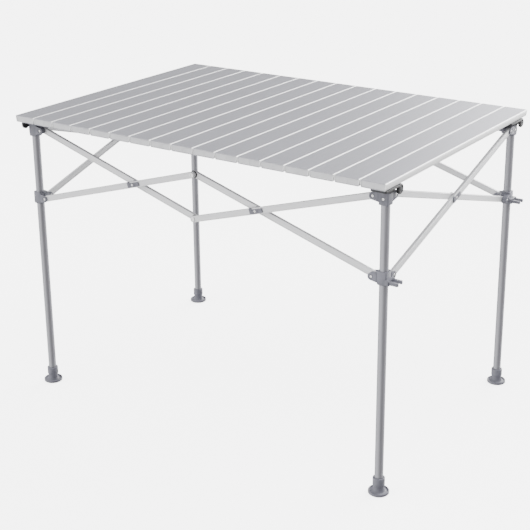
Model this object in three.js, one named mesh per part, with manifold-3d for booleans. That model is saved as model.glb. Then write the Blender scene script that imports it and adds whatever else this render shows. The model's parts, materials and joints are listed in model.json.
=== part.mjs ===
// Folding picnic table: a roll-up slatted top on a pop-up scissor frame.
// Millimetres, +Z up. The frame's four legs are tied on every side by scissor arms that share one
// angle, so the whole frame folds as one motion while a collar slides down each leg.
import * as THREE from 'three';
import { mergeVertices } from 'three/addons/utils/BufferGeometryUtils.js';
import Module from 'manifold-3d';

const wasm = await Module();
wasm.setup();

// Table top: slats run along Y and are laid side by side along X.
const topLength = 1003;
const topWidth = 698.5;
const topHeight = 711;
const slatCount = 17;
const slatGap = 1;
const slatThickness = 15.5;
const slatWall = 0.9;
const slatEndWall = 3;
const slatSideDepth = 5;
const slatSideSlant = 2.2;
const slatBevel = 0.8;
const cordHoleRadius = 1.75;
const cordHoleFromEnd = 60;

// Legs, measured from the edges of the top to the leg's axis.
const legInsetX = 22;
const legInsetY = 40.5;
const legRadius = 9.5;
const legWall = 1.2;

// Feet
const footRadius = 23;
const footSocketWall = 4;
const footFlangeHeight = 6;
const footFlareHeight = 13;
const footHeight = 38;
const footFloor = 6.3;
const footEdge = 1.5;

// Scissor arms: two flat tubes side by side on each side of the frame.
const armWidth = 15;
const armThickness = 8;
const armSpacing = 1;
const armWall = 1;
const armDrop = 172;
const drainRadius = 1.5;
const pocketMargin = 11;
const pivotInset = 24;
const pivotBelowBracketTop = 18.9;

// Pins
const pinRadius = 3;
const pinPlay = 0.4;
const pinHeadRadius = 6;
const pinHeadHeight = 2;
const pinHeadSink = 0.1;
const forkPinRecess = 0.5;

// Top brackets; the collars have the same wall round the tube.
const blockWall = 1.8;
const bracketDepth = 35;
const bracketTaper = 10;
const bracketLip = 1;
const bracketCap = 6.9;
const earRadius = 8;
const earRoot = 10.5;
const slotPlay = 0.4;
const forkPlay = 0.5;

// Sliding collars
const collarHeight = 30;
const collarBevel = 3;
const collarPlay = 0.4;

// Release levers, on the collars at the +X end
const leverWidth = 25;
const leverGap = 12;
const leverHeight = 7;
const leverBridge = 3.5;
const leverTipBevel = 2;
const leverReach = 37.5;
const leverBelowPivot = 6;
const leverPlay = 0.4;
const leverBackGap = 0.5;
const leverShellReach = 18;
const leverShellWall = 2;
const leverShellFloor = 1;

// Corner clips, under the two end slats
const clipThickness = 5;
const clipInward = 15;
const clipEdgeGap = 0.6;
const clipEndGap = 2;
const clipReach = 50;
const innerKnobReach = 24;
const outerKnobReach = 14;
const lugHeight = 9;
const lugThickness = 2;
const lugHalf = 10;
const lugPlay = 0.8;
const knobRadius = 11;
const knobThickness = 6;
const knobEdgeGap = 0.5;

// Clearance between pieces that touch or seat on each other
const seatGap = 0.3;
// Facets round a turned piece, a pin and a small hole
const roundSteps = 16;
const pinSteps = 12;
const smallSteps = 6;
const halfRoundSteps = 6;
// How far a cut runs past a face, or a joined shape runs into its neighbour
const overrun = 1;

// Worked out from the sizes above.
const blockHalf = legRadius + blockWall;
const footSocketRadius = legRadius + footSocketWall;
const slatPitch = topLength / slatCount;
const slatWidth = slatPitch - slatGap;
const legX = topLength / 2 - legInsetX;
const legY = topWidth / 2 - legInsetY;
const slatBottom = topHeight - slatThickness;
const clipBottom = slatBottom - seatGap - clipThickness;
const bracketTop = clipBottom - seatGap;
const bracketBottom = bracketTop - bracketDepth;
const topPivotZ = bracketTop - pivotBelowBracketTop;
const collarPivotZ = topPivotZ - armDrop;
const legTop = bracketTop - bracketCap - seatGap;
const legBottom = footFloor + seatGap;
const armPlane = (armThickness + armSpacing) / 2;
const shortHalfSpan = legY - pivotInset;
const longHalfSpan = legX - pivotInset;
const legLink = Math.hypot(shortHalfSpan, armDrop / 2);
const armAngle = Math.atan2(armDrop / 2, shortHalfSpan);
const longArm = longHalfSpan / Math.cos(armAngle);
const shortArm = 2 * legLink;
const middleTopZ = collarPivotZ + longArm * Math.sin(armAngle);
const middleBottomZ = topPivotZ - longArm * Math.sin(armAngle);
// The origin is the middle of the whole table's box, which reaches from the feet to the levers.
const lowestX = -Math.max(topLength / 2, legX + footRadius);
const highestX = Math.max(-lowestX, legX + leverReach);
const originShift = (lowestX + highestX) / 2;

const aluminium = { color: 0xd6d7da, roughness: 0.38, metalness: 0.9 };
const topAluminium = { color: 0xc4c5c8, roughness: 0.42, metalness: 0.85 };
const greyPlastic = { color: 0x8b8b98, roughness: 0.55, metalness: 0 };
const darkPlastic = { color: 0x3f4047, roughness: 0.6, metalness: 0 };
const steel = { color: 0xb4b5b8, roughness: 0.3, metalness: 1 };

// A closed shape as a solid, with its faces pointing out.
function solid(geometry) {
  const bare = geometry.index ? geometry.clone() : geometry;
  bare.deleteAttribute('normal');
  bare.deleteAttribute('uv');
  const merged = mergeVertices(bare, 1e-4);
  const corner = merged.attributes.position.array;
  const faces = [];
  let volume = 0;
  for (let i = 0; i < merged.index.count; i += 3) {
    const [a, b, c] = [0, 1, 2].map((k) => merged.index.getX(i + k));
    if (a === b || b === c || c === a) continue;
    faces.push([a, b, c]);
    const [p, q, r] = [a, b, c].map((k) => new THREE.Vector3().fromArray(corner, 3 * k));
    volume += p.dot(q.cross(r));
  }
  const outward = volume > 0 ? faces : faces.map(([a, b, c]) => [a, c, b]);
  const mesh = new wasm.Mesh({
    numProp: 3,
    vertProperties: new Float32Array(corner),
    triVerts: new Uint32Array(outward.flat()),
  });
  return new wasm.Manifold(mesh);
}

function joined(first, ...rest) {
  return rest.reduce((whole, piece) => whole.add(piece), first);
}

function cut(first, ...rest) {
  return rest.reduce((whole, piece) => whole.subtract(piece), first);
}

function geometryOf(whole) {
  const mesh = whole.getMesh();
  const geometry = new THREE.BufferGeometry();
  geometry.setAttribute('position', new THREE.BufferAttribute(mesh.vertProperties, 3));
  geometry.setIndex(new THREE.BufferAttribute(mesh.triVerts, 1));
  const flat = geometry.toNonIndexed();
  flat.computeVertexNormals();
  return flat;
}

// A box between two corners.
function boxBetween(low, high) {
  const size = high.map((value, k) => value - low[k]);
  const geometry = new THREE.BoxGeometry(...size);
  geometry.translate(...low.map((value, k) => value + size[k] / 2));
  return solid(geometry);
}

// A round bar along one axis ('x', 'y' or 'z'), from one place on that axis to another.
function roundBar(radius, axis, centre, from, to, steps = roundSteps) {
  const geometry = new THREE.CylinderGeometry(radius, radius, to - from, steps);
  geometry.translate(0, (from + to) / 2, 0);
  if (axis === 'x') geometry.rotateZ(-Math.PI / 2);
  if (axis === 'z') geometry.rotateX(Math.PI / 2);
  geometry.translate(...centre);
  return solid(geometry);
}

// A turned shape about Z from its outline of [radius, height] points.
function turned(points, steps = roundSteps) {
  const geometry = new THREE.LatheGeometry(points.map(([r, z]) => new THREE.Vector2(r, z)), steps);
  geometry.rotateX(Math.PI / 2);
  return solid(geometry);
}

// A flat outline of [x, y] points, given a height along Z.
function raised(points, from, to, holes = []) {
  const shape = new THREE.Shape(points.map(([x, y]) => new THREE.Vector2(x, y)));
  shape.holes.push(...holes);
  const geometry = new THREE.ExtrudeGeometry(shape, { depth: to - from, bevelEnabled: false });
  geometry.translate(0, 0, from);
  return solid(geometry);
}

function arcPoints(centreX, centreY, radius, start, end, steps) {
  return Array.from({ length: steps + 1 }, (_, i) => {
    const angle = start + ((end - start) * i) / steps;
    return [centreX + radius * Math.cos(angle), centreY + radius * Math.sin(angle)];
  });
}

function roundHole(x, radius) {
  const points = arcPoints(x, 0, radius, 0, 2 * Math.PI, pinSteps).slice(0, -1);
  return new THREE.Path(points.map(([px, py]) => new THREE.Vector2(px, py)));
}

// Stands a shape drawn in XY up in the XZ plane, its former +Z facing -Y.
const standing = (whole) => whole.rotate([90, 0, 0]);

function mesh(name, geometry, look) {
  const piece = new THREE.Mesh(geometry, new THREE.MeshStandardMaterial(look));
  piece.name = name;
  return piece;
}

// One slat's section, drawn in from its outer faces by an inset.
function slatSection(inset) {
  const half = slatWidth / 2 - inset;
  const lowHalf = half - slatSideSlant;
  const low = inset;
  const high = slatThickness - inset;
  const sideLow = slatThickness - slatSideDepth;
  return [
    [-lowHalf + slatBevel, low], [lowHalf - slatBevel, low], [lowHalf, low + slatBevel],
    [half, sideLow], [half, high - slatBevel], [half - slatBevel, high],
    [-half + slatBevel, high], [-half, high - slatBevel], [-half, sideLow], [-lowHalf, low + slatBevel],
  ];
}

// A hollow slat with closed ends, and small cross holes that the elastic cord runs through.
function slatGeometry() {
  const half = topWidth / 2;
  const bar = standing(raised(slatSection(0), -half, half));
  const hollow = standing(raised(slatSection(slatWall), slatEndWall - half, half - slatEndWall));
  const cordHoles = [-1, 1].map((side) => {
    const y = side * (half - cordHoleFromEnd);
    const centre = [0, y, slatThickness - slatSideDepth];
    return roundBar(cordHoleRadius, 'x', centre, -slatPitch / 2, slatPitch / 2, smallSteps);
  });
  return geometryOf(cut(bar, hollow, ...cordHoles));
}

function legTubeGeometry() {
  const inner = legRadius - legWall;
  return geometryOf(turned([
    [inner, legBottom], [legRadius, legBottom], [legRadius, legTop], [inner, legTop], [inner, legBottom],
  ]));
}

// A round foot: a flat flange flared up into the socket that the leg stands in.
function footGeometry() {
  const bore = legRadius + seatGap;
  return geometryOf(turned([
    [0, 0], [footRadius - footEdge, 0], [footRadius, footEdge],
    [footRadius, footFlangeHeight - footEdge], [footRadius - footEdge, footFlangeHeight],
    [footSocketRadius + footEdge, footFlareHeight], [footSocketRadius, footFlareHeight + footEdge],
    [footSocketRadius, footHeight - footEdge], [footSocketRadius - footEdge, footHeight],
    [bore, footHeight], [bore, footFloor], [0, footFloor],
  ]));
}

// A flat tube with round ends along X, with a pin hole at each pivot and a hollow between them.
// pinAt names the pivot, by its distance along the arm, whose pin is riveted into this arm.
function armSolid(length, crossAt, pinAt) {
  const half = armWidth / 2;
  const pivots = [0, crossAt, length];
  const outline = [
    ...arcPoints(length, 0, half, -Math.PI / 2, Math.PI / 2, halfRoundSteps),
    ...arcPoints(0, 0, half, Math.PI / 2, 1.5 * Math.PI, halfRoundSteps),
  ];
  const holes = pivots.filter((at) => at !== pinAt).map((at) => roundHole(at, pinRadius + pinPlay));
  const bar = raised(outline, -armThickness / 2, armThickness / 2, holes);
  const hollows = [[0, crossAt], [crossAt, length]].flatMap(([from, to]) => {
    const low = [from + pocketMargin, armWall - half, armWall - armThickness / 2];
    const high = [to - pocketMargin, half - armWall, armThickness / 2 - armWall];
    const drain = roundBar(drainRadius, 'y', [(from + to) / 2, 0, 0], -half - overrun, 0, smallSteps);
    return [boxBetween(low, high), drain];
  });
  const hollowBar = cut(bar, ...hollows);
  return pinAt === null ? hollowBar : joined(hollowBar, middlePin(pinAt));
}

// The pin that ties an inner arm to the outer one beside it, with a head past the outer arm.
function middlePin(at) {
  const innerFace = -armThickness / 2;
  const outerFace = 2 * armPlane + armThickness / 2 + pinPlay;
  const pin = turned([
    [0, innerFace - pinHeadHeight], [pinHeadRadius, innerFace - pinHeadHeight],
    [pinHeadRadius, innerFace + pinHeadSink], [pinRadius, innerFace + pinHeadSink], [pinRadius, outerFace],
    [pinHeadRadius, outerFace], [pinHeadRadius, outerFace + pinHeadHeight],
    [0, outerFace + pinHeadHeight],
  ], pinSteps);
  return pin.translate([at, 0, 0]);
}

// The loose pin where two arms cross, with a head on each side.
function crossPinGeometry() {
  const face = armPlane + armThickness / 2 + pinPlay;
  return geometryOf(standing(turned([
    [0, -face - pinHeadHeight], [pinHeadRadius, -face - pinHeadHeight], [pinHeadRadius, -face],
    [pinRadius, -face], [pinRadius, face], [pinHeadRadius, face],
    [pinHeadRadius, face + pinHeadHeight], [0, face + pinHeadHeight],
  ], pinSteps)));
}

// A fork that reaches out along -X from a leg's block and holds an arm's end on a pin: its two
// ears in one, the slot between them and the pin. The arm lies at y = plane.
function forkPieces(plane, pivotZ) {
  const ears = standing(raised([
    ...arcPoints(-pivotInset, pivotZ, earRadius, Math.PI / 2, 1.5 * Math.PI, halfRoundSteps),
    [overrun - blockHalf, pivotZ - earRoot], [overrun - blockHalf, pivotZ + earRoot],
  ], -blockHalf, blockHalf));
  const slotHalf = armThickness / 2 + slotPlay;
  const slotEnd = armWidth / 2 + forkPlay - pivotInset;
  const slot = boxBetween(
    [-pivotInset - earRadius - overrun, plane - slotHalf, pivotZ - earRoot - overrun],
    [slotEnd, plane + slotHalf, pivotZ + earRoot + overrun],
  );
  const pinHalf = blockHalf - forkPinRecess;
  const pin = roundBar(pinRadius, 'y', [-pivotInset, 0, pivotZ], -pinHalf, pinHalf, pinSteps);
  return { ears, slot, pin };
}

// A leg's block with a fork along -X and the same fork turned to reach along +Y.
function forkedBlock(block, plane, pivotZ) {
  const first = forkPieces(plane, pivotZ);
  const second = forkPieces(plane, pivotZ);
  const turnedBack = (piece) => piece.rotate([0, 0, -90]);
  const whole = joined(block, first.ears, turnedBack(second.ears));
  return joined(cut(whole, first.slot, turnedBack(second.slot)), first.pin, turnedBack(second.pin));
}

// The block on top of a leg, tapered at its foot down to the tube.
function topBracketGeometry() {
  const taperTop = bracketBottom + bracketTaper;
  const taperHalf = legRadius + bracketLip;
  const block = joined(
    boxBetween([-blockHalf, -blockHalf, taperTop], [blockHalf, blockHalf, bracketTop]),
    tapered(taperHalf, blockHalf, bracketBottom, taperTop),
  );
  const boreTop = bracketTop - bracketCap;
  const bore = roundBar(legRadius + seatGap, 'z', [0, 0, 0], bracketBottom - overrun, boreTop);
  return geometryOf(cut(forkedBlock(block, -armPlane, topPivotZ), bore));
}

// A square frustum about Z between two half-widths.
function tapered(lowHalf, highHalf, low, high) {
  const diagonal = Math.SQRT2;
  const frustum = new THREE.CylinderGeometry(highHalf * diagonal, lowHalf * diagonal, high - low, 4);
  frustum.rotateY(Math.PI / 4);
  frustum.rotateX(Math.PI / 2);
  frustum.translate(0, 0, (low + high) / 2);
  return solid(frustum);
}

// The collar that slides on a leg. leverTurn turns the lever's shell about the leg, or is null.
function collarGeometry(leverTurn) {
  const low = collarPivotZ - collarHeight / 2;
  const high = collarPivotZ + collarHeight / 2;
  const bevelHalf = blockHalf - collarBevel / 2;
  const block = joined(
    boxBetween([-blockHalf, -blockHalf, low + collarBevel], [blockHalf, blockHalf, high]),
    tapered(bevelHalf, blockHalf, low, low + collarBevel),
  );
  const body = forkedBlock(block, armPlane, collarPivotZ);
  const bore = roundBar(legRadius + collarPlay, 'z', [0, 0, 0], low - overrun, high + overrun);
  const collar = leverTurn === null ? body : joined(body, leverShell().rotate([0, 0, leverTurn]));
  return geometryOf(cut(collar, bore));
}

const leverZ = collarPivotZ - leverBelowPivot;
const leverBack = blockHalf + leverShellFloor + leverBackGap;

// The open-fronted shell on the collar that the release lever slides in.
function leverShell() {
  const halfY = leverWidth / 2 + leverPlay;
  const halfZ = leverHeight / 2 + leverPlay;
  const shell = boxBetween(
    [blockHalf - overrun, -halfY - leverShellWall, leverZ - halfZ - leverShellWall],
    [leverShellReach, halfY + leverShellWall, leverZ + halfZ + leverShellWall],
  );
  const mouth = boxBetween(
    [blockHalf + leverShellFloor, -halfY, leverZ - halfZ],
    [leverShellReach + overrun, halfY, leverZ + halfZ],
  );
  return cut(shell, mouth);
}

// The lever: two prongs on a bridge, pulled outwards along +X.
function leverGeometry() {
  const outer = leverWidth / 2;
  const inner = leverGap / 2;
  const bridge = leverBack + leverBridge;
  const tip = leverReach - leverTipBevel;
  return geometryOf(raised([
    [leverBack, -outer], [tip, -outer], [leverReach, leverTipBevel - outer], [leverReach, -inner],
    [bridge, -inner], [bridge, inner], [leverReach, inner], [leverReach, outer - leverTipBevel],
    [tip, outer], [leverBack, outer],
  ], leverZ - leverHeight / 2, leverZ + leverHeight / 2));
}

// The clip under an end slat, which the bracket seats against. It runs along Y past the leg, with
// a round knob at the far end; the lug beside it hooks over the bracket's outer face.
function clipGeometry(start, reach) {
  const clipTop = clipBottom + clipThickness;
  const outer = legInsetX - clipEdgeGap;
  const lugNear = blockHalf + lugPlay;
  const strip = boxBetween([-clipInward, start, clipBottom], [outer, reach, clipTop]);
  const lug = boxBetween(
    [lugNear, -lugHalf, clipBottom - lugHeight],
    [lugNear + lugThickness, lugHalf, clipBottom + overrun],
  );
  const knobZ = clipTop - knobRadius;
  const knobFace = legInsetX - knobEdgeGap;
  const knob = roundBar(knobRadius, 'x', [0, reach, knobZ], knobFace - knobThickness, knobFace);
  return geometryOf(joined(strip, lug, knob));
}

const table = new THREE.Group();
table.position.x = -originShift;

const slatShape = slatGeometry();
for (let i = 0; i < slatCount; i += 1) {
  const slat = mesh(`slat_${String(i + 1).padStart(2, '0')}`, slatShape, topAluminium);
  slat.position.set((i + 0.5) * slatPitch - topLength / 2, 0, slatBottom);
  table.add(slat);
}

// Each corner is the same leg turned a quarter at a time. Only the two at the +X end have levers,
// whose prongs point along +X.
const corners = [
  { name: 'fr', turn: 0, x: 1, y: -1, leverTurn: 0 },
  { name: 'br', turn: 90, x: 1, y: 1, leverTurn: -90 },
  { name: 'bl', turn: 180, x: -1, y: 1, leverTurn: null },
  { name: 'fl', turn: 270, x: -1, y: -1, leverTurn: null },
];
// The two ends of the top are alike when turned half round: one clip runs from the slat's end to a
// knob on the inner side of the leg, and the other from further in to a knob on the outer side.
const clipShapes = {
  inward: clipGeometry(clipEndGap - legInsetY, innerKnobReach),
  outward: clipGeometry(-clipReach, outerKnobReach),
};
const tubeShape = legTubeGeometry();
const footShape = footGeometry();
const bracketShape = topBracketGeometry();
for (const { name, turn, x, y, leverTurn } of corners) {
  const corner = new THREE.Group();
  corner.position.set(x * legX, y * legY, 0);
  corner.rotation.z = THREE.MathUtils.degToRad(turn);
  corner.add(
    mesh(`leg_tube_${name}`, tubeShape, aluminium),
    mesh(`foot_${name}`, footShape, greyPlastic),
    mesh(`top_bracket_${name}`, bracketShape, greyPlastic),
    mesh(`slider_collar_${name}`, collarGeometry(leverTurn), greyPlastic),
  );
  if (leverTurn !== null) {
    const lever = mesh(`release_lever_${name}`, leverGeometry(), greyPlastic);
    lever.rotation.z = THREE.MathUtils.degToRad(leverTurn);
    corner.add(lever);
  }
  const clipShape = x * y < 0 ? clipShapes.inward : clipShapes.outward;
  const clip = mesh(`corner_clip_${name}`, clipShape, darkPlastic);
  clip.position.set(x * legX, y * legY, 0);
  clip.rotation.z = x > 0 ? 0 : Math.PI;
  table.add(corner, clip);
}

// Arms of one side, seen from outside: x runs from its left leg to its right leg.
// Arms on the inner plane run down to the right, and those on the outer plane run up.
function addArm(side, name, from, downwards, length, crossAt, pinAt) {
  const arm = mesh(name, geometryOf(standing(armSolid(length, crossAt, pinAt))), aluminium);
  arm.position.set(from[0], downwards ? armPlane : -armPlane, from[1]);
  arm.rotation.y = downwards ? armAngle : -armAngle;
  side.add(arm);
}

const crossPinShape = crossPinGeometry();

function addCrossPin(side, name, x) {
  const pin = mesh(name, crossPinShape, steel);
  pin.position.set(x, 0, (topPivotZ + collarPivotZ) / 2);
  side.add(pin);
}

const longSides = [
  { side: 'front', turn: 0, left: 'fl', right: 'fr' },
  { side: 'back', turn: Math.PI, left: 'br', right: 'bl' },
];
for (const { side, turn, left, right } of longSides) {
  const group = new THREE.Group();
  group.position.y = side === 'front' ? -legY : legY;
  group.rotation.z = turn;
  const far = longArm - legLink;
  const pinIn = longHalfSpan - shortHalfSpan;
  addArm(group, `${side}_arm_${left}_top`, [-longHalfSpan, topPivotZ], true, longArm, legLink, longArm);
  addArm(group, `${side}_arm_${left}_slider`, [-longHalfSpan, collarPivotZ], false, longArm, legLink, null);
  addArm(group, `${side}_arm_${right}_top`, [0, middleBottomZ], false, longArm, far, null);
  addArm(group, `${side}_arm_${right}_slider`, [0, middleTopZ], true, longArm, far, 0);
  addCrossPin(group, `cross_pin_${side}_${left}`, -pinIn);
  addCrossPin(group, `cross_pin_${side}_${right}`, pinIn);
  table.add(group);
}
const shortSides = [
  { side: 'right', turn: Math.PI / 2, left: 'fr', right: 'br' },
  { side: 'left', turn: -Math.PI / 2, left: 'bl', right: 'fl' },
];
for (const { side, turn, left, right } of shortSides) {
  const group = new THREE.Group();
  group.position.x = side === 'right' ? legX : -legX;
  group.rotation.z = turn;
  addArm(group, `${side}_arm_${left}_top`, [-shortHalfSpan, topPivotZ], true, shortArm, legLink, null);
  addArm(group, `${side}_arm_${right}_top`, [-shortHalfSpan, collarPivotZ], false, shortArm, legLink, null);
  addCrossPin(group, `cross_pin_${side}`, 0);
  table.add(group);
}

export default table;
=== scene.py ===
import json
import math

import bpy
from mathutils import Matrix, Vector


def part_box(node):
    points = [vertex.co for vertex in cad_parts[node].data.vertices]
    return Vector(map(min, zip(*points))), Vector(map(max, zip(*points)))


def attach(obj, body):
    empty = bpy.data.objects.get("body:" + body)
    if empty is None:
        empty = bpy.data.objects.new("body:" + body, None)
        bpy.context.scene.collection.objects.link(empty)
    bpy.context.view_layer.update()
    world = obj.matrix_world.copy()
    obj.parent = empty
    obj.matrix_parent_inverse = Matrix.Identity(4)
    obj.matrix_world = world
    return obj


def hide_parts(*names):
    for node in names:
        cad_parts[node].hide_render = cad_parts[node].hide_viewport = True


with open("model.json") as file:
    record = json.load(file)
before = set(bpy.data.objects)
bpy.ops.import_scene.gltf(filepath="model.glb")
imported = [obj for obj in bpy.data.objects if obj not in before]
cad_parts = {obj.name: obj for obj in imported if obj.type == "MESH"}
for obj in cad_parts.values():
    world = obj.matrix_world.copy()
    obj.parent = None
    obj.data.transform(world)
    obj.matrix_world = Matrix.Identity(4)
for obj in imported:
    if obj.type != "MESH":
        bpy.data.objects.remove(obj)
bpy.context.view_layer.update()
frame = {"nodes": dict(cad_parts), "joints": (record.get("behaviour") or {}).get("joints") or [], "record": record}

# places that everything else is built from, in metres
pivots = {joint["name"]: Vector(joint["pos_m"]) for joint in frame["joints"] if "pos_m" in joint}
cornerNames = ["fr", "br", "bl", "fl"]
cornerTurns = {"fr": 0, "br": 90, "bl": 180, "fl": 270}


def nodeMiddle(node):
    low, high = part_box(node)
    return (low + high) / 2


def nodeSize(node):
    low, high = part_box(node)
    return high - low


legPlaces = {name: nodeMiddle("leg_tube_" + name).xy.to_3d() for name in cornerNames}
topPivotZ = pivots["frame_fold"].z
collarPivotZ = pivots["collar_fl_pin"].z
pivotInset = pivots["frame_fold"].x - legPlaces["fl"].x
armPlane = legPlaces["fl"].y - nodeMiddle("front_arm_fl_slider").y
middleBottomZ = pivots["front_middle"].z
armWidth = nodeSize("front_arm_fl_top").z - (topPivotZ - middleBottomZ)
bodyNodes = frame["record"]["behaviour"]["bodies"]
bodyOfNode = {node: body for body, nodes in bodyNodes.items() for node in nodes}
overrun = 0.001        # how far a cutter stands out of what it cuts
smoothAngle = 32       # faces that meet flatter than this, in degrees, are shaded as one
print("frame loaded")


# mesh tools

def deselectAll():
    if bpy.context.object and bpy.context.object.mode != "OBJECT":
        bpy.ops.object.mode_set(mode="OBJECT")
    bpy.ops.object.select_all(action="DESELECT")


def makeActive(piece):
    deselectAll()
    piece.select_set(True)
    bpy.context.view_layer.objects.active = piece


def takeNew(name):
    piece = bpy.context.object
    piece.name = name
    bpy.ops.object.transform_apply(location=True, rotation=True, scale=True)
    return piece


def addBlock(name, low, high):
    deselectAll()
    low, high = Vector(low), Vector(high)
    bpy.ops.mesh.primitive_cube_add(size=1, location=(low + high) / 2, scale=high - low)
    return takeNew(name)


def addBar(name, radius, start, end, sides=32):
    deselectAll()
    start, end = Vector(start), Vector(end)
    along = end - start
    bpy.ops.mesh.primitive_cylinder_add(
        vertices=sides, radius=radius, depth=along.length, location=(start + end) / 2,
        rotation=along.to_track_quat("Z", "Y").to_euler(),
    )
    return takeNew(name)


def pick(piece, kind, wanted):
    # goes into edit mode with only the wanted vertices, edges or faces selected
    makeActive(piece)
    bpy.context.tool_settings.mesh_select_mode = [kind == each for each in ("VERT", "EDGE", "FACE")]
    mesh = piece.data
    for group in (mesh.vertices, mesh.edges, mesh.polygons):
        group.foreach_set("select", [False] * len(group))
    if kind == "VERT":
        for vertex in mesh.vertices:
            vertex.select = wanted(vertex.co)
    elif kind == "EDGE":
        for edge in mesh.edges:
            start, end = (mesh.vertices[i].co for i in edge.vertices)
            edge.select = wanted((start + end) / 2, (end - start).normalized())
    else:
        for face in mesh.polygons:
            face.select = wanted(face.center, face.normal)
    bpy.ops.object.mode_set(mode="EDIT")


def bevelEdges(piece, wanted, width, segments=3):
    pick(piece, "EDGE", wanted)
    bpy.ops.mesh.bevel(offset=width, segments=segments, affect="EDGES")
    deselectAll()


def cutAcross(piece, point, normal):
    pick(piece, "FACE", lambda centre, facing: True)
    bpy.ops.mesh.bisect(plane_co=point, plane_no=normal)
    deselectAll()


def resizePart(piece, wanted, factors, centre):
    pick(piece, "VERT", wanted)
    bpy.ops.transform.resize(value=factors, center_override=centre)
    deselectAll()


def movePart(piece, wanted, step):
    pick(piece, "VERT", wanted)
    bpy.ops.transform.translate(value=step)
    deselectAll()


def sinkFaces(piece, wanted, margin, depth, individual=True):
    # insets the faces and pushes them in along their normals
    pick(piece, "FACE", wanted)
    bpy.ops.mesh.inset(thickness=margin, depth=0, use_individual=individual)
    bpy.ops.mesh.inset(thickness=0, depth=-depth, use_individual=individual)
    deselectAll()


def modify(piece, kind, **settings):
    makeActive(piece)
    bpy.ops.object.modifier_add(type=kind)
    modifier = piece.modifiers[-1]
    for name, value in settings.items():
        setattr(modifier, name, value)
    bpy.ops.object.modifier_apply(modifier=modifier.name)


def carve(piece, *cutters, operation="DIFFERENCE"):
    for cutter in cutters:
        modify(piece, "BOOLEAN", operation=operation, object=cutter, solver="EXACT")
        bpy.data.objects.remove(cutter)
    return piece


def fuse(piece, *others):
    return carve(piece, *others, operation="UNION")


def softenEdges(piece, width, segments=2, angle=35):
    modify(
        piece, "BEVEL", width=width, segments=segments, limit_method="ANGLE",
        angle_limit=math.radians(angle), use_clamp_overlap=True,
    )


def turnOutline(name, outline, sides=48):
    # a turned shape about Z, pulled up ring by ring from a disc through [radius, height] points
    (firstRadius, firstHeight), (nextRadius, nextHeight) = outline[:2]
    piece = addBar(name, firstRadius, (0, 0, firstHeight), (0, 0, nextHeight), sides)
    topHeight = nextHeight
    radius = firstRadius
    pick(piece, "FACE", lambda centre, facing: facing.z > 0.9)
    bpy.ops.transform.resize(value=(nextRadius / radius,) * 2 + (1,), center_override=(0, 0, topHeight))
    radius = nextRadius
    for nextRadius, nextHeight in outline[2:]:
        bpy.ops.mesh.extrude_region_move(TRANSFORM_OT_translate={"value": (0, 0, nextHeight - topHeight)})
        topHeight = nextHeight
        share = nextRadius / radius
        bpy.ops.transform.resize(value=(share, share, 1), center_override=(0, 0, topHeight))
        radius = nextRadius
    bpy.ops.mesh.select_all(action="SELECT")
    bpy.ops.mesh.normals_make_consistent(inside=False)
    deselectAll()
    return piece


def copyOf(model, name, place=Matrix.Identity(4)):
    makeActive(model)
    bpy.ops.object.duplicate()
    piece = bpy.context.object
    piece.name = name
    piece.data.transform(place)
    return piece


def dropModels(*models):
    for model in models:
        bpy.data.objects.remove(model)


def markGrain(piece, order, middle):
    # keeps each point's place from the piece's middle before it is put in the table, long axis first
    place = piece.data.attributes.new("grainPlace", "FLOAT_VECTOR", "POINT")
    for vertex in piece.data.vertices:
        place.data[vertex.index].vector = [vertex.co[axis] - middle[axis] for axis in order]


def finishPiece(piece, body, material, slot, *replaced):
    makeActive(piece)
    bpy.ops.object.shade_smooth_by_angle(angle=math.radians(smoothAngle))
    piece.data.materials.clear()
    piece.data.materials.append(material)
    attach(piece, body)
    if replaced:
        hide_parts(*replaced)


# materials

class Wire:
    # an output of a node, on which Python's operators add Math nodes

    def __init__(self, tree, socket):
        self.tree = tree
        self.socket = socket

    def node(self, kind, settings=None, inputs=None, output=0):
        made = self.tree.nodes.new(kind)
        for name, value in (settings or {}).items():
            setattr(made, name, value)
        for name, value in (inputs or {}).items():
            if isinstance(value, Wire):
                self.tree.links.new(value.socket, made.inputs[name])
            else:
                made.inputs[name].default_value = value
        return Wire(self.tree, made.outputs[output])

    def calculate(self, operation, first, second):
        return self.node("ShaderNodeMath", {"operation": operation}, {0: first, 1: second})

    def __add__(self, other):
        return self.calculate("ADD", self, other)

    def __sub__(self, other):
        return self.calculate("SUBTRACT", self, other)

    def __rsub__(self, other):
        return self.calculate("SUBTRACT", other, self)

    def __mul__(self, other):
        return self.calculate("MULTIPLY", self, other)

    __radd__ = __add__
    __rmul__ = __mul__

    def limited(self, low, high):
        # 0 below low, 1 above high, smooth between
        ends = {"Value": self, "From Min": low, "From Max": high}
        return self.node("ShaderNodeMapRange", {"interpolation_type": "SMOOTHSTEP"}, ends)

    def noise(self, scale, detail=3.0, roughness=0.5):
        sizes = {"Vector": self, "Scale": scale, "Detail": detail, "Roughness": roughness}
        return self.node("ShaderNodeTexNoise", {}, sizes)

    def stretched(self, scales):
        return self.node("ShaderNodeMapping", {}, {"Vector": self, "Scale": scales})

    def mixed(self, first, second):
        # from the first colour to the second as this value goes from 0 to 1
        return self.node("ShaderNodeMix", {"data_type": "RGBA"}, {0: self, 6: first, 7: second}, 2)


def newMaterial(name):
    # gives the material, its shader and its Object coordinates
    material = bpy.data.materials.new(name)
    material.use_nodes = True
    tree = material.node_tree
    shader = tree.nodes["Principled BSDF"]
    start = Wire(tree, None)
    return shader, start.node("ShaderNodeTexCoord", output="Object")


def dressShader(shader, fixed, changing):
    for name, value in fixed.items():
        shader.inputs[name].default_value = value
    for name, wire in changing.items():
        wire.tree.links.new(wire.socket, shader.inputs[name])


def grey(level, blue=1.0):
    return (level, level, level * blue, 1)


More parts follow.
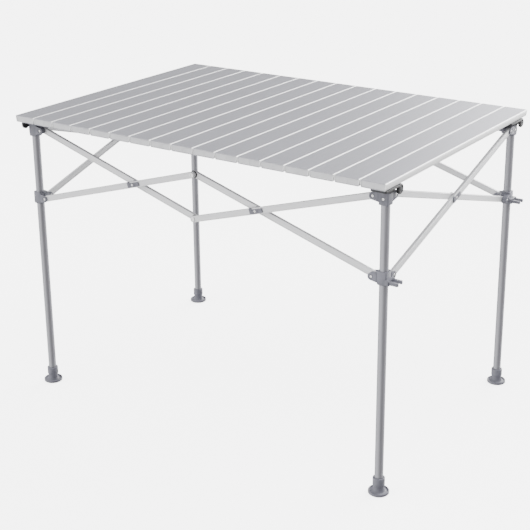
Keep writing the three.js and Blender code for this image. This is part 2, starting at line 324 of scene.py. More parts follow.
def wornEdges(place, width=0.0006):
    # 1 in patches along the corners, where the rounded normal leaves the true one
    rounded = place.node("ShaderNodeBevel", {"samples": 4}, {"Radius": width})
    true = place.node("ShaderNodeNewGeometry", output="Normal")
    same = place.node("ShaderNodeVectorMath", {"operation": "DOT_PRODUCT"}, {0: rounded, 1: true}, "Value")
    patches = place.noise(90, 4, 0.6)
    return (1 - same).limited(0.03, 0.25) * patches.limited(0.35, 0.65)


def bump(height, strength, distance):
    inputs = {"Height": height, "Strength": strength, "Distance": distance}
    return height.node("ShaderNodeBump", {}, inputs)


fineLines = 3.1        # how much closer the finer brush lines lie
metalClouds = 7        # patches per metre


def brushedMetal(name, look):
    shader, place = newMaterial(name)
    grain = place.node("ShaderNodeAttribute", {"attribute_name": "grainPlace"}, output="Vector")
    lines = grain.stretched((look["lineLength"], 1, 1)).noise(look["lineScale"], 2, 0.6)
    fine = grain.stretched((look["lineLength"] * 2, 1, 1)).noise(look["lineScale"] * fineLines, 1, 0.5)
    clouds = place.noise(metalClouds, 3, 0.55)
    edges = wornEdges(place)
    tone = lines * 0.65 + fine * 0.25 + clouds * 0.1
    colour = tone.limited(0.3, 0.7).mixed(look["dark"], look["light"])
    if "seamHighlightAt" in look:
        # a painted highlight: the rolled edges beside each seam are painted brighter than the flat between them,
        # standing in for the light they catch
        across = grain.node("ShaderNodeSeparateXYZ", {}, {0: grain}, 1)
        across = across.calculate("ABSOLUTE", across, 0)
        seamHighlight = across.limited(look["seamHighlightAt"] - look["seamHighlightSoft"], look["seamHighlightAt"] + look["seamHighlightSoft"])
        colour = seamHighlight.mixed(colour, look["seamHighlight"])
    colour = edges.mixed(colour, look["worn"])
    roughness = lines * look["roughnessSpread"] + (clouds * 0.05 + look["roughness"])
    dressShader(shader, {"Metallic": look["metallic"], "Specular IOR Level": 0.5}, {
        "Base Color": colour,
        "Roughness": roughness - edges * 0.1,
        "Normal": bump(lines + fine * 0.5, look["bump"], 0.0002),
    })
    return bpy.data.materials[name]


mouldSpeckle = 2600        # grains per metre
mouldClouds = 45


def mouldedPlastic(name, look):
    shader, place = newMaterial(name)
    speckle = place.noise(mouldSpeckle, 2, 0.6)
    clouds = place.noise(mouldClouds, 3, 0.55)
    edges = wornEdges(place)
    tone = clouds * 0.7 + speckle * 0.3
    colour = tone.limited(0.3, 0.7).mixed(look["dark"], look["light"])
    colour = edges.mixed(colour, look["worn"])
    dressShader(shader, {"Metallic": 0.0, "Specular IOR Level": 0.45}, {
        "Base Color": colour,
        "Roughness": clouds * 0.16 + look["roughness"] - edges * 0.1,
        "Normal": bump(speckle, look["bump"], 0.00015),
    })
    return bpy.data.materials[name]


looks = {
    "slatAluminium": dict(
        dark=grey(0.29, 1.11), light=grey(0.35, 1.11), worn=grey(0.75), metallic=0.55, roughness=0.29,
        roughnessSpread=0.12, lineLength=0.012, lineScale=900, bump=0.12,
        # the bright band along the slats' rolled edges is a painted highlight
        seamHighlight=grey(0.8), seamHighlightAt=0.0266, seamHighlightSoft=0.0006,
    ),
    "legAluminium": dict(
        dark=grey(0.29, 1.09), light=grey(0.36, 1.09), worn=grey(0.7), metallic=0.5, roughness=0.3,
        roughnessSpread=0.12, lineLength=0.01, lineScale=1200, bump=0.1,
    ),
    # the same aluminium as legAluminium, painted lighter: this copy stands in for the light falling on the arms'
    # flat faces
    "armAluminium": dict(
        dark=grey(0.60, 1.02), light=grey(0.72, 1.02), worn=grey(0.85), metallic=0.35, roughness=0.34,
        roughnessSpread=0.12, lineLength=0.01, lineScale=1200, bump=0.1,
    ),
    "bracketPlastic": dict(dark=grey(0.125, 1.2), light=grey(0.18, 1.2), worn=grey(0.34, 1.1),
                           roughness=0.38, bump=0.35),
    "clipPlastic": dict(dark=grey(0.018, 1.1), light=grey(0.032, 1.1), worn=grey(0.10),
                        roughness=0.42, bump=0.35),
    "plugPlastic": dict(dark=grey(0.56, 1.03), light=grey(0.64, 1.03), worn=grey(0.7),
                        roughness=0.42, bump=0.3),
    "screwSteel": dict(dark=grey(0.62), light=grey(0.8), worn=grey(0.9), roughness=0.14,
                       roughnessSpread=0.2, scratchScale=900, cloudScale=160, bump=0.12),
}
slatMetal = brushedMetal("slatAluminium", looks["slatAluminium"])
legMetal = brushedMetal("legAluminium", looks["legAluminium"])
# the arms' metal is a painted-light copy of the legs' metal
armMetalPaintedLight = brushedMetal("armAluminium", looks["armAluminium"])
bracketPlastic = mouldedPlastic("bracketPlastic", looks["bracketPlastic"])
clipPlastic = mouldedPlastic("clipPlastic", looks["clipPlastic"])
plugPlastic = mouldedPlastic("plugPlastic", looks["plugPlastic"])


def platedSteel(name, look):
    shader, place = newMaterial(name)
    scratches = place.noise(look["scratchScale"], 4, 0.7)
    clouds = place.noise(look["cloudScale"], 3, 0.5)
    edges = wornEdges(place)
    colour = clouds.limited(0.3, 0.7).mixed(look["dark"], look["light"])
    dressShader(shader, {"Metallic": 1.0}, {
        "Base Color": edges.mixed(colour, look["worn"]),
        "Roughness": scratches * look["roughnessSpread"] + look["roughness"],
        "Normal": bump(scratches, look["bump"], 0.0001),
    })
    return bpy.data.materials[name]


screwSteel = platedSteel("screwSteel", looks["screwSteel"])
print("materials made")


# table top: one slat and one end plug are modelled, then copied along the length

slat = dict(
    wall=0.0013, sideDepth=0.005, sideSlant=0.0022, topRound=0.0014, footRound=0.001,
    ridge=0.0005, ridgeFromEdge=0.0035, plugDepth=0.012, plugSunk=0.0003, plugFit=0.00015,
    ribWide=0.0018, panelMargin=0.001, panelDeep=0.0004,
)
slatLow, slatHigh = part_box("slat_01")
slatNodes = sorted(node for node in frame["nodes"] if node.startswith("slat_"))
slatMiddle = (slatLow + slatHigh) / 2


def slatBlock(name, inset, frontY, backY):
    # the slat's outline drawn in by an inset, with its sides slanting in below
    low = Vector((slatLow.x + inset, frontY, slatLow.z + inset))
    high = Vector((slatHigh.x - inset, backY, slatHigh.z - inset))
    block = addBlock(name, low, high)
    sideLow = slatHigh.z - slat["sideDepth"]
    cutAcross(block, (0, 0, sideLow), (0, 0, 1))
    width = high.x - low.x
    share = 1 - 2 * slat["sideSlant"] / width
    resizePart(block, lambda place: place.z < sideLow - 0.001, (share, 1, 1), slatMiddle)
    bevelEdges(
        block, lambda place, along: abs(along.y) > 0.9 and place.z < slatLow.z + 0.003,
        slat["footRound"], 3,
    )
    bevelEdges(
        block, lambda place, along: abs(along.y) > 0.9 and place.z > slatHigh.z - inset - 0.0001,
        slat["topRound"] - inset * 0.5, 4,
    )
    return block


slatModel = slatBlock("slatModel", 0, slatLow.y, slatHigh.y)
# a fine step along both long edges of the top face
topEdge = slatHigh.x - slat["ridgeFromEdge"]
for side in (-1, 1):
    groove = addBlock(
        "groove",
        (slatMiddle.x + side * (topEdge - slatMiddle.x) - slat["ridge"] / 2, slatLow.y - 0.001,
         slatHigh.z - slat["ridge"] * 0.7),
        (slatMiddle.x + side * (topEdge - slatMiddle.x) + slat["ridge"] / 2, slatHigh.y + 0.001,
         slatHigh.z + 0.001),
    )
    carve(slatModel, groove)
endHollow = slat["plugDepth"]
hollows = (
    (slatLow.y - overrun, slatLow.y + endHollow),
    (slatHigh.y - endHollow, slatHigh.y + overrun),
)
for frontY, backY in hollows:
    carve(slatModel, slatBlock("hollow", slat["wall"], frontY, backY))
markGrain(slatModel, (1, 0, 2), slatMiddle)

plugModel = slatBlock(
    "plugModel", slat["wall"] + slat["plugFit"], slatLow.y + slat["plugSunk"],
    slatLow.y + slat["plugDepth"] - slat["plugFit"],
)
# two shallow panels with a rib between them
ribHalf = slat["ribWide"] / 2
for side in (-1, 1):
    cutAcross(plugModel, (slatMiddle.x + side * ribHalf, 0, 0), (1, 0, 0))
sinkFaces(
    plugModel, lambda centre, facing: facing.y < -0.9 and abs(centre.x - slatMiddle.x) > ribHalf,
    slat["panelMargin"], slat["panelDeep"], individual=False,
)

halfTurn = (
    Matrix.Translation(slatMiddle.xy.to_3d()) @ Matrix.Rotation(math.pi, 4, "Z")
    @ Matrix.Translation(-slatMiddle.xy.to_3d())
)
for node in slatNodes:
    number = node[-2:]
    shift = Matrix.Translation((nodeMiddle(node).x - slatMiddle.x, 0, 0))
    body = bodyOfNode[node]
    piece = copyOf(slatModel, "top_slat_" + number, shift)
    finishPiece(piece, body, slatMetal, "slat_aluminium", node)
    for end, turn in (("front", Matrix.Identity(4)), ("back", halfTurn)):
        plug = copyOf(plugModel, "end_plug_{}_{}".format(end, number), shift @ turn)
        finishPiece(plug, body, plugPlastic, "grey_plastic")
dropModels(slatModel, plugModel)
print("slats and end plugs made")


# screws and rivets, modelled once at the origin with their heads facing +Z

screw = dict(headRadius=0.0031, headHeight=0.0016, seat=0.0046,
             slotLong=0.0024, slotWide=0.00045, slotDeep=0.0009)


def screwHead(name, radius, height):
    head = turnOutline(name, [
        (radius, -0.0004), (radius, height * 0.35), (radius * 0.9, height * 0.72),
        (radius * 0.66, height * 0.93), (radius * 0.3, height),
    ], 32)
    reach = screw["slotLong"] * radius / screw["headRadius"] / 2 * 1.6
    half = screw["slotWide"]
    floor = height - screw["slotDeep"]
    cross = fuse(
        addBlock("crossSlot", (-reach, -half, floor), (reach, half, height + overrun)),
        addBlock("otherSlot", (-half, -reach, floor), (half, reach, height + overrun)),
    )
    return carve(head, cross)


screwModel = screwHead("screwModel", screw["headRadius"], screw["headHeight"])
rivetModel = turnOutline("rivetModel", [
    (0.0062, -0.0004), (0.0062, 0.0006), (0.0056, 0.0014), (0.0042, 0.0019), (0.0025, 0.00205),
    (0.0021, 0.0015), (0.001, 0.0013),
], 32)


def facing(place, direction):
    # the matrix that puts a head at a place with its top facing a direction
    return Matrix.Translation(place) @ Vector(direction).to_track_quat("Z", "Y").to_matrix().to_4x4()


def addHead(name, model, place, direction, body):
    head = copyOf(model, name, facing(place, direction))
    finishPiece(head, body, screwSteel, "rivet_steel")
    return head


# leg corners: pieces are modelled about the leg's axis, with one fork along -X and one along +Y

tubeLow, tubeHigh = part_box("leg_tube_fr")
footLow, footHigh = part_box("foot_fr")
bracketLow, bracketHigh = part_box("top_bracket_fr")
collarLow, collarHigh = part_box("slider_collar_bl")
legRadius = (tubeHigh.x - tubeLow.x) / 2
footRadius = (footHigh.x - footLow.x) / 2
blockHalf = bracketHigh.x - legPlaces["fr"].x
armHalfThick = nodeSize("front_arm_fl_slider").y / 2
leg = dict(wall=0.0012, endRound=0.0006, sides=64)
foot = dict(socketWall=0.004, barrelStep=0.0012, stepAt=0.020, rim=0.0068, dish=0.0044)
bracket = dict(taper=0.010, footLip=0.001, play=0.0003, ear=0.008, earRoot=0.0105, slotPlay=0.0004,
               boreDepth=0.0281, edge=0.0006, cornerRound=0.0016, screwSink=0.0013, blockScrewDrop=0.003)
collar = dict(edge=0.0006, cornerRound=0.0026, footBevel=0.003, play=0.0004)

legModel = turnOutline("legModel", [
    (legRadius - leg["endRound"], tubeLow.z), (legRadius, tubeLow.z + leg["endRound"]),
    (legRadius, tubeHigh.z - leg["endRound"]), (legRadius - leg["endRound"], tubeHigh.z),
    (legRadius - leg["wall"], tubeHigh.z), (legRadius - leg["wall"], tubeHigh.z - 0.012),
], leg["sides"])
markGrain(legModel, (2, 0, 1), (0, 0, 0))

# a dished flange with a raised rim, a narrow barrel and a wider socket above a step
socket = legRadius + foot["socketWall"]
barrel = socket - foot["barrelStep"]
rim, dish, stepAt, footTop = foot["rim"], foot["dish"], foot["stepAt"], footHigh.z
footModel = turnOutline("footModel", [
    (footRadius - 0.0012, 0), (footRadius, 0.001), (footRadius, rim - 0.0012),
    (footRadius - 0.0005, rim - 0.0003), (footRadius - 0.0014, rim), (footRadius - 0.0023, rim - 0.0003),
    (footRadius - 0.0030, dish), (barrel + 0.0042, dish + 0.0002), (barrel + 0.0020, dish + 0.0014),
    (barrel + 0.0007, dish + 0.0038), (barrel, dish + 0.0075), (barrel, stepAt - 0.0015),
    (barrel + 0.0003, stepAt - 0.0006), (socket - 0.0002, stepAt), (socket, stepAt + 0.0006),
    (socket, footTop - 0.0016), (socket - 0.0005, footTop - 0.0005), (socket - 0.0016, footTop),
    (legRadius + 0.0007, footTop), (legRadius + 0.0002, footTop - 0.0006), (legRadius + 0.0002, 0.0064),
], 64)


def wing(pivotZ):
    # the solid that a fork's two ears are cut from: round about the pivot, spreading to the block
    half = blockHalf
    shape = addBar(
        "wing", bracket["ear"], (-pivotInset, -half, pivotZ), (-pivotInset, half, pivotZ), 40,
    )
    root = 0.0005 - half
    spread = bracket["earRoot"] / bracket["ear"]
    resizePart(
        shape, lambda place: place.x > -pivotInset + 0.0002, (0, 1, spread), (root, 0, pivotZ),
    )
    return shape


def armSlot(plane, pivotZ):
    half = armHalfThick + bracket["slotPlay"]
    return addBlock(
        "armSlot", (-pivotInset - 0.012, plane - half, pivotZ - 0.016),
        (-pivotInset + armWidth / 2 + 0.0005, plane + half, pivotZ + 0.016),
    )


def screwSeats(plane, pivotZ, extra):
    # shallow round seats for the screws on both faces of a fork, and on the block's outer face
    half = blockHalf
    sink = bracket["screwSink"]
    seats = [(-pivotInset, pivotZ)] + extra
    cutters = []
    for x, z in seats:
        cutters.append(addBar("seat", screw["seat"], (x, -half - 0.001, z), (x, -half + sink, z)))
    back = (-pivotInset, half - sink, pivotZ)
    cutters.append(addBar("seat", screw["seat"], back, (-pivotInset, half + 0.001, pivotZ)))
    return cutters


quarterBack = Matrix.Rotation(-math.pi / 2, 4, "Z")


def turnedBack(cutter):
    cutter.data.transform(quarterBack)
    return cutter


def forkBlock(block, plane, pivotZ, extraScrews):
    fuse(block, wing(pivotZ), turnedBack(wing(pivotZ)))
    carve(block, armSlot(plane, pivotZ), turnedBack(armSlot(plane, pivotZ)))
    carve(block, *screwSeats(plane, pivotZ, extraScrews))
    carve(block, *[turnedBack(seat) for seat in screwSeats(plane, pivotZ, [])])
    return block


def makeBracket():
    half = blockHalf
    lowHalf = legRadius + bracket["footLip"]
    block = addBlock("bracketModel", (-half, -half, bracketLow.z), (half, half, bracketHigh.z))
    taperTop = bracketLow.z + bracket["taper"]
    cutAcross(block, (0, 0, taperTop), (0, 0, 1))
    share = lowHalf / half
    resizePart(
        block, lambda place: place.z < bracketLow.z + 0.001, (share, share, 1), (0, 0, bracketLow.z),
    )
    bevelEdges(
        block, lambda place, along: abs(along.z) > 0.7, bracket["cornerRound"], 3,
    )
    forkBlock(block, -armPlane, topPivotZ, [(0, topPivotZ - bracket["blockScrewDrop"])])
    boreTop = bracketLow.z + bracket["boreDepth"]
    bore = addBar("bore", legRadius + bracket["play"], (0, 0, bracketLow.z - overrun), (0, 0, boreTop), 48)
    carve(block, bore)
    softenEdges(block, bracket["edge"])
    return block


def makeCollar(leverTurn):
    half = blockHalf
    block = addBlock("collarModel", (-half, -half, collarLow.z), (half, half, collarHigh.z))
    bevelEdges(block, lambda place, along: abs(along.z) > 0.7, collar["cornerRound"], 3)
    cutAcross(block, (0, 0, collarLow.z + collar["footBevel"]), (0, 0, 1))
    share = 1 - collar["footBevel"] / half / 2
    resizePart(
        block, lambda place: place.z < collarLow.z + 0.001, (share, share, 1), (0, 0, collarLow.z),
    )
    forkBlock(block, armPlane, collarPivotZ, [])
    if leverTurn is not None:
        shell = leverShell()
        shell.data.transform(Matrix.Rotation(math.radians(leverTurn), 4, "Z"))
        fuse(block, shell)
    boreStart, boreEnd = collarLow.z - overrun, collarHigh.z + overrun
    bore = addBar("bore", legRadius + collar["play"], (0, 0, boreStart), (0, 0, boreEnd), 48)
    carve(block, bore)
    softenEdges(block, collar["edge"])
    return block


# release levers, which point along +X

lever = dict(gap=0.012, bridge=0.0035, tipRound=0.0026, gripCount=4, gripPitch=0.0026, gripDeep=0.0005,
             shellReach=0.018, shellWall=0.002, play=0.0004)
leverLow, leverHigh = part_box("release_lever_fr")
leverMiddle = (leverLow + leverHigh) / 2
leverBack = leverLow.x - legPlaces["fr"].x
leverReach = leverHigh.x - legPlaces["fr"].x
leverHalf = (leverHigh.y - leverLow.y) / 2


def leverShell():
    halfY = leverHalf + lever["play"]
    halfZ = (leverHigh.z - leverLow.z) / 2 + lever["play"]
    reach, wall = lever["shellReach"], lever["shellWall"]
    z = leverMiddle.z
    shell = addBlock(
        "shell", (blockHalf - 0.001, -halfY - wall, z - halfZ - wall),
        (reach, halfY + wall, z + halfZ + wall),
    )
    bevelEdges(shell, lambda place, along: abs(along.x) > 0.9, 0.002, 3)
    mouth = addBlock("mouth", (leverBack - 0.0005, -halfY, z - halfZ), (reach + 0.001, halfY, z + halfZ))
    return carve(shell, mouth)


def makeLever():
    half = leverHalf
    gapHalf = lever["gap"] / 2
    piece = addBlock("leverModel", (leverBack, -half, leverLow.z), (leverReach, half, leverHigh.z))
    bevelEdges(
        piece, lambda place, along: abs(along.z) > 0.9 and place.x > leverReach - 0.001,
        lever["tipRound"], 4,
    )
    gap = addBlock(
        "gap", (leverBack + lever["bridge"], -gapHalf, leverLow.z - overrun),
        (leverReach + overrun, gapHalf, leverHigh.z + overrun),
    )
    bevelEdges(gap, lambda place, along: abs(along.z) > 0.9 and place.x < leverBack + 0.01, 0.0025, 4)
    carve(piece, gap)
    for i in range(lever["gripCount"]):
        x = leverReach - 0.004 - i * lever["gripPitch"]
        for z in (leverLow.z, leverHigh.z):
            grip = addBar("grip", lever["gripDeep"], (x, -half - 0.001, z), (x, half + 0.001, z), 12)
            carve(piece, grip)
    softenEdges(piece, 0.0006)
    return piece


bracketModel = makeBracket()
collarModels = {"fr": makeCollar(0), "br": makeCollar(-90), "bl": makeCollar(None)}
collarModels["fl"] = collarModels["bl"]
leverModel = makeLever()
print("corner models made")

screwFace = blockHalf - bracket["screwSink"]
for name in cornerNames:
    turn = Matrix.Rotation(math.radians(cornerTurns[name]), 4, "Z")
    place = Matrix.Translation(legPlaces[name]) @ turn
    legBody = "leg_" + name
    collarBody = "collar_" + name
    piece = copyOf(legModel, "leg_tube_smooth_" + name, place)
    finishPiece(piece, legBody, legMetal, "frame_aluminium", "leg_tube_" + name)
    piece = copyOf(footModel, "round_foot_" + name, place)
    finishPiece(piece, legBody, bracketPlastic, "grey_plastic", "foot_" + name)
    piece = copyOf(bracketModel, "bracket_" + name, place)
    finishPiece(piece, legBody, bracketPlastic, "grey_plastic", "top_bracket_" + name)
    piece = copyOf(collarModels[name], "collar_" + name, place)
    finishPiece(piece, collarBody, bracketPlastic, "grey_plastic", "slider_collar_" + name)
    heads = [
        ("bracket_screw_a_", (-pivotInset, -screwFace, topPivotZ), (0, -1, 0), legBody),
        ("bracket_screw_b_", (screwFace, pivotInset, topPivotZ), (1, 0, 0), legBody),
        ("bracket_nut_a_", (-pivotInset, screwFace, topPivotZ), (0, 1, 0), legBody),
        ("block_screw_", (0, -screwFace, topPivotZ - bracket["blockScrewDrop"]), (0, -1, 0), legBody),
        ("collar_screw_a_", (-pivotInset, -screwFace, collarPivotZ), (0, -1, 0), collarBody),
        ("collar_screw_b_", (screwFace, pivotInset, collarPivotZ), (1, 0, 0), collarBody),
        ("collar_nut_a_", (-pivotInset, screwFace, collarPivotZ), (0, 1, 0), collarBody),
    ]
    for label, spot, direction, body in heads:
        addHead(label + name, screwModel, place @ Vector(spot), turn.to_3x3() @ Vector(direction), body)
for name in ("fr", "br"):
    piece = copyOf(leverModel, "lever_" + name, Matrix.Translation(legPlaces[name]))
    finishPiece(piece, "lever_" + name, bracketPlastic, "grey_plastic", "release_lever_" + name)
dropModels(legModel, footModel, bracketModel, leverModel)
dropModels(*[collarModels[name] for name in ("fr", "br", "bl")])        # fl shares bl's
print("legs, feet, brackets, collars and levers made")


# corner clips with their ribbed knobs, each built in place from its CAD node's box

clip = dict(thick=0.005, knobRadius=0.011, knobThick=0.006, knobFace=0.0215, ribs=20, ribDeep=0.001,
            rimWide=0.0026, dishDeep=0.0009, bossRadius=0.0042, lugDrop=0.009, lugThick=0.002,
            lugHalf=0.010, lugGap=0.0008, cornerRound=0.003)


def makeKnob():
    # a disc facing +X with ribs round its rim and a dished face with a boss
    radius = clip["knobRadius"] - clip["ribDeep"]
    thick, boss = clip["knobThick"], clip["bossRadius"]
    dishFloor = thick - clip["dishDeep"]
    knob = turnOutline("knobModel", [
        (radius, 0), (radius, thick - 0.0012), (radius - 0.0004, thick - 0.0004),
        (radius - 0.0014, thick), (radius - clip["rimWide"], thick),
        (radius - clip["rimWide"] - 0.0006, dishFloor), (boss, dishFloor),
        (boss - 0.0006, thick - 0.0002), (0.0010, thick - 0.0002),
    ], clip["ribs"] * 2)
    pick(knob, "FACE", lambda centre, facing: abs(facing.z) < 0.1 and centre.xy.length > radius * 0.95
         and round(math.atan2(centre.y, centre.x) / math.pi * clip["ribs"] - 0.5) % 2 == 0)
    bpy.ops.mesh.inset(thickness=0.0001, depth=clip["ribDeep"], use_individual=True)
    deselectAll()
    knob.data.transform(Matrix.Rotation(math.pi / 2, 4, "Y"))
    return knob


knobModel = makeKnob()
for name in cornerNames:
    node = "corner_clip_" + name
    low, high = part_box(node)
    axis = legPlaces[name]
    side = 1 if axis.x > 0 else -1
    stripLow = high.z - clip["thick"]
    knobEnd = high.y - clip["knobRadius"] if side > 0 else low.y + clip["knobRadius"]
    stripEnds = (low.y, knobEnd) if side > 0 else (knobEnd, high.y)
    strip = addBlock("clip_strip_" + name, (low.x, stripEnds[0], stripLow), (high.x, stripEnds[1], high.z))
    knobZ = high.z - clip["knobRadius"]
    bevelEdges(strip, lambda place, along: abs(along.z) > 0.9, clip["cornerRound"], 4)
    lugNear = blockHalf + clip["lugGap"]
    lugEnds = sorted((axis.x + side * lugNear, axis.x + side * (lugNear + clip["lugThick"])))
    lug = addBlock(
        "lug", (lugEnds[0], axis.y - clip["lugHalf"], stripLow - clip["lugDrop"]),
        (lugEnds[1], axis.y + clip["lugHalf"], stripLow + 0.001),
    )
    bevelEdges(
        lug, lambda place, along: abs(along.x) > 0.9 and place.z < stripLow - 0.005,
        clip["cornerRound"], 4,
    )
    fuse(strip, lug)
    softenEdges(strip, 0.0007)
    body = bodyOfNode[node]
    finishPiece(strip, body, clipPlastic, "dark_plastic", node)
    knobTurn = Matrix.Identity(4) if side > 0 else Matrix.Rotation(math.pi, 4, "Z")
    knobBack = axis.x + side * (clip["knobFace"] - clip["knobThick"])
    knobPlace = Matrix.Translation((knobBack, knobEnd, knobZ)) @ knobTurn
    knob = copyOf(knobModel, "clip_knob_" + name, knobPlace)
    finishPiece(knob, body, clipPlastic, "dark_plastic")
dropModels(knobModel)
print("corner clips made")


# scissor arms: flat tubes with rounded edges, modelled from the leg-side pivot along +X

arm = dict(edgeRound=0.0017, groove=0.0003, grooveMargin=0.0012, sides=32)
middleX = pivots["front_middle"].x
middleTopZ = topPivotZ + collarPivotZ - middleBottomZ
longSpan = middleX - pivots["frame_fold"].x
shortSpan = (legPlaces["br"].y - legPlaces["fr"].y) / 2 - pivotInset
drop = topPivotZ - collarPivotZ
legLink = math.hypot(shortSpan, drop / 2)
armAngle = math.atan2(drop / 2, shortSpan)
longLength = longSpan / math.cos(armAngle)


def makeArm(name, length):
    radius = armWidth / 2 / math.cos(math.pi / arm["sides"])
    half = armHalfThick
    bar = addBar(name, radius, (0, -half, 0), (0, half, 0), arm["sides"])
    bar.data.transform(Matrix.Rotation(math.pi / arm["sides"], 4, "Y"))
    movePart(bar, lambda place: place.x > 0, (length, 0, 0))
    bevelEdges(bar, lambda place, along: abs(abs(place.y) - half) < 0.0001, arm["edgeRound"], 4)
    sinkFaces(bar, lambda centre, facing: abs(facing.y) > 0.9 and abs(centre.x - length / 2) < 0.01,
              arm["grooveMargin"], arm["groove"])
    markGrain(bar, (0, 1, 2), (0, 0, 0))
    return bar


armModels = {"long": makeArm("longArmModel", longLength), "short": makeArm("shortArmModel", 2 * legLink)}

# plastic saddle on an arm's outer face where two arms cross, facing +Y with its tab along +X
saddle = dict(back=0.0185, ahead=0.0150, half=0.0052, thick=0.0022, tabLong=0.0060, tabHigh=0.0085,
              notchAt=-0.0070, notchWide=0.0020, notchDeep=0.0008, seatAt=0.0012, seatRadius=0.0040,
              seatDeep=0.0012, tabProud=0.0006)


def makeSaddle():
    plate = addBlock(
        "saddleModel", (-saddle["back"], -0.0006, -saddle["half"]),
        (saddle["ahead"], saddle["thick"], saddle["half"]),
    )
    bevelEdges(plate, lambda place, along: abs(along.y) > 0.9, 0.0018, 3)
    tab = addBlock(
        "tab", (saddle["ahead"] - saddle["tabLong"], -0.0006, -saddle["half"]),
        (saddle["ahead"], saddle["thick"] + saddle["tabProud"], saddle["tabHigh"]),
    )
    bevelEdges(tab, lambda place, along: abs(along.y) > 0.9 and place.z > 0, 0.0015, 3)
    fuse(plate, tab)
    notchStart = saddle["notchAt"] - saddle["notchWide"] / 2
    notch = addBlock(
        "notch", (notchStart, saddle["thick"] - saddle["notchDeep"], -0.02),
        (notchStart + saddle["notchWide"], saddle["thick"] + 0.002, 0.02),
    )
    seatAt = saddle["seatAt"]
    seatFloor = saddle["thick"] - saddle["seatDeep"]
    seat = addBar("seat", saddle["seatRadius"], (seatAt, seatFloor, 0), (seatAt, 0.005, 0))
    carve(plate, notch, seat)
    softenEdges(plate, 0.0004)
    return plate


saddleModel = makeSaddle()
washerModel = turnOutline("washerModel", [
    (0.0082, -0.00046), (0.0087, -0.0002), (0.0087, 0.0002), (0.0082, 0.00046), (0.003, 0.00046),
], 40)
shaftModel = turnOutline("shaftModel", [
    (0.0024, -0.0098), (0.0028, -0.0094), (0.0028, 0.0094), (0.0024, 0.0098),
], 24)


def sideFrame(left, right):
    # local X runs from the left leg to the right one, seen from outside, and Y runs inwards
    start, end = legPlaces[left], legPlaces[right]
    along = (end - start).normalized()
    inward = Vector((0, 0, 1)).cross(along)
    turn = Matrix((along, inward, (0, 0, 1))).transposed().to_4x4()
    return Matrix.Translation((start + end) / 2) @ turn


def armPlace(side, start, end, plane):
    # puts an arm's model between two [x, z] pivots on its plane of one side of the table
    step = Vector((end[0] - start[0], 0, end[1] - start[1]))
    along = step.normalized()
    inward = Vector((0, 1, 0)) if along.x > 0 else Vector((0, -1, 0))
    turn = Matrix((along, inward, along.cross(inward))).transposed().to_4x4()
    return side @ Matrix.Translation((start[0], plane, start[1])) @ turn


def addArm(node, kind, place):
    piece = copyOf(armModels[kind], node + "_tube", place)
    finishPiece(piece, node, armMetalPaintedLight, "frame_aluminium", node)


def addPin(name, side, x, z, outerBody, innerBody, pinBody, replaced):
    # a crossing: shaft, washer between the arms, and a saddle and a screw head on each face
    half = armPlane + armHalfThick
    spot = side @ Vector((x, 0, z))
    out = side.to_3x3() @ Vector((0, -1, 0))
    shaft = copyOf(shaftModel, name + "_shaft", facing(spot, out))
    finishPiece(shaft, pinBody, screwSteel, "rivet_steel", *replaced)
    washer = copyOf(washerModel, name + "_washer", facing(spot, out))
    finishPiece(washer, pinBody, bracketPlastic, "dark_plastic")
    faces = (("outer", outerBody, True, armAngle), ("inner", innerBody, False, -armAngle))
    for label, body, facingOut, angle in faces:
        turn = Matrix.Rotation(-angle, 4, "Y")
        flip = Matrix.Rotation(math.pi, 4, "Z") if facingOut else Matrix.Identity(4)
        y = -half if facingOut else half
        tilt = side @ Matrix.Translation((x, y, z)) @ turn @ flip
        plate = copyOf(saddleModel, "{}_saddle_{}".format(name, label), tilt)
        finishPiece(plate, body, bracketPlastic, "grey_plastic")
        headSpot = tilt @ Vector((saddle["seatAt"], saddle["thick"] - 0.0011, 0))
        direction = out if facingOut else -out
        addHead("{}_screw_{}".format(name, label), screwModel, headSpot, direction, body)


def addRivet(name, side, x, z, outerBody, innerBody):
    half = armPlane + armHalfThick
    spot = side @ Vector((x, 0, z))
    out = side.to_3x3() @ Vector((0, -1, 0))
    washer = copyOf(washerModel, name + "_washer", facing(spot, out))
    finishPiece(washer, innerBody, clipPlastic, "dark_plastic")
    addHead(name + "_head", rivetModel, spot + out * (half - 0.0002), out, innerBody)
    addHead(name + "_tail", rivetModel, spot - out * (half - 0.0002), -out, innerBody)


crossZ = (topPivotZ + collarPivotZ) / 2
for label, left, right in (("front", "fl", "fr"), ("back", "br", "bl")):
    side = sideFrame(left, right)
    names = {end + kind: "{}_arm_{}_{}".format(label, corner, kind)
             for end, corner in (("left", left), ("right", right)) for kind in ("top", "slider")}
    for end, way in (("left", -1), ("right", 1)):
        topPlace = armPlace(side, (way * longSpan, topPivotZ), (0, middleBottomZ), -way * armPlane)
        addArm(names[end + "top"], "long", topPlace)
        sliderPlace = armPlace(side, (way * longSpan, collarPivotZ), (0, middleTopZ), way * armPlane)
        addArm(names[end + "slider"], "long", sliderPlace)
    crossX = longSpan - legLink * math.cos(armAngle)
    leftPin = "cross_pin_{}_{}".format(label, left)
    rightPin = "cross_pin_{}_{}".format(label, right)
    addPin("crossing_{}_{}".format(label, left), side, -crossX, crossZ,
           names["leftslider"], names["lefttop"], bodyOfNode[leftPin], [leftPin])
    addPin("crossing_{}_{}".format(label, right), side, crossX, crossZ,
           names["righttop"], names["rightslider"], bodyOfNode[rightPin], [rightPin])
    addRivet("rivet_{}_top".format(label), side, 0, middleTopZ, names["leftslider"], names["rightslider"])
    addRivet("rivet_{}_bottom".format(label), side, 0, middleBottomZ, names["righttop"], names["lefttop"])
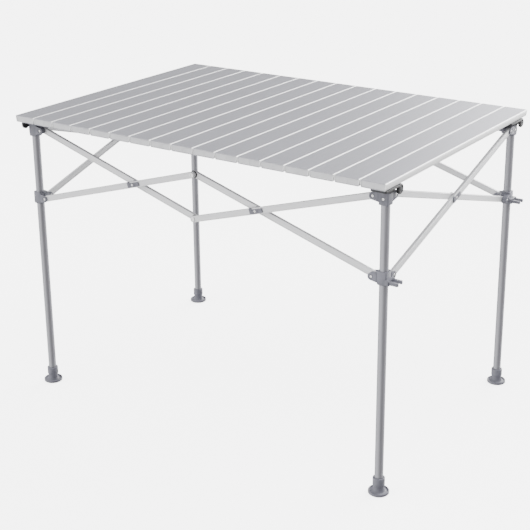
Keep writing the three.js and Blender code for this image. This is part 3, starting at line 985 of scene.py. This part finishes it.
for label, left, right in (("right", "fr", "br"), ("left", "bl", "fl")):
    side = sideFrame(left, right)
    downArm = "{}_arm_{}_top".format(label, left)
    upArm = "{}_arm_{}_top".format(label, right)
    addArm(downArm, "short", armPlace(side, (-shortSpan, topPivotZ), (shortSpan, collarPivotZ), armPlane))
    addArm(upArm, "short", armPlace(side, (-shortSpan, collarPivotZ), (shortSpan, topPivotZ), -armPlane))
    node = "cross_pin_" + label
    addPin("crossing_" + label, side, 0, crossZ, upArm, downArm, bodyOfNode[node], [node])
dropModels(*armModels.values(), saddleModel, washerModel, shaftModel, screwModel, rivetModel)
print("arms, crossings and rivets made")


# floor, light and camera

studio = dict(
    floorSize=80, floorTone=0.86, floorGlow=4.2, skyLow=0.4,
    lights=[
        dict(name="key_light", place=(-2.6, -2.2, 3.0), target=(0, 0, 0.4),
             size=(2.4, 2.0), power=60),
        dict(name="sheen_light", place=(1.1, 0.5, 1.45), target=(0.45, 0.1, 0.7),
             size=(0.8, 0.8), power=16),
    ],
    glows=[
        dict(towards=(-0.62, -0.72, 0.05), start=0.1, full=0.85, strength=1.9),
        dict(towards=(0.60, 0.76, -0.10), start=0.5, full=0.95, strength=1.2),
        dict(towards=(0, 0.3, 1), start=0.3, full=1.0, strength=1.3),
        dict(towards=(0.12, 0.96, 0.22), start=0.80, full=0.99, strength=11.0),
    ],
)
camera = dict(azimuth=34.46, elevation=18.47, roll=-0.51, lens=80.18, shiftY=-0.1226,
              place=(1.5276, -2.26874, 1.40522))


def makeFloor():
    deselectAll()
    bpy.ops.mesh.primitive_plane_add(size=studio["floorSize"], location=(0, 0, 0))
    floor = takeNew("studio_floor")
    shader, place = newMaterial("paleFloor")
    mottle = place.noise(3, 4, 0.5)
    tone = studio["floorTone"]
    fixed = {"Roughness": 0.9, "Specular IOR Level": 0.1, "Emission Strength": studio["floorGlow"]}
    dressShader(shader, fixed, {
        "Base Color": mottle.limited(0.3, 0.7).mixed(grey(tone), grey(tone + 0.02)),
    })
    shader.inputs["Emission Color"].default_value = grey(1.0)
    floor.data.materials.append(bpy.data.materials["paleFloor"])
    floor.visible_diffuse = False
    floor.visible_glossy = False


def addSoftLight(name, place, target, size, power):
    deselectAll()
    bpy.ops.object.light_add(type="AREA", location=place)
    light = bpy.context.object
    light.name = name
    light.data.shape = "RECTANGLE"
    light.data.size, light.data.size_y = size
    light.data.energy = power
    light.rotation_euler = (Vector(target) - Vector(place)).to_track_quat("-Z", "Y").to_euler()


def makeWorld():
    # a soft sky that is brighter towards a few sides, so that round and flat metal show their shape
    world = bpy.data.worlds.new("studioWorld")
    world.use_nodes = True
    tree = world.node_tree
    direction = Wire(tree, None).node("ShaderNodeTexCoord", output="Generated")
    sky = studio["skyLow"]
    for glow in studio["glows"]:
        inputs = {0: direction, 1: Vector(glow["towards"]).normalized()}
        side = direction.node("ShaderNodeVectorMath", {"operation": "DOT_PRODUCT"}, inputs, "Value")
        sky = side.limited(glow["start"], glow["full"]) * glow["strength"] + sky
    background = tree.nodes["Background"]
    background.inputs["Color"].default_value = grey(1.0)
    tree.links.new(sky.socket, background.inputs["Strength"])
    bpy.context.scene.world = world


def makeCamera():
    azimuth, elevation = math.radians(camera["azimuth"]), math.radians(camera["elevation"])
    back = Vector((math.sin(azimuth) * math.cos(elevation), -math.cos(azimuth) * math.cos(elevation),
                   math.sin(elevation)))
    right = Vector((0, 0, 1)).cross(back).normalized()
    up = back.cross(right)
    turn = Matrix((right, up, back)).transposed().to_4x4()
    roll = Matrix.Rotation(math.radians(camera["roll"]), 4, "Z")
    bpy.ops.object.camera_add()
    eye = bpy.context.object
    eye.name = "studio_camera"
    eye.matrix_world = Matrix.Translation(camera["place"]) @ turn @ roll
    eye.data.lens = camera["lens"]
    eye.data.shift_y = camera["shiftY"]
    bpy.context.scene.camera = eye


makeFloor()
makeWorld()
for light in studio["lights"]:
    addSoftLight(**light)
makeCamera()
print("studio made")
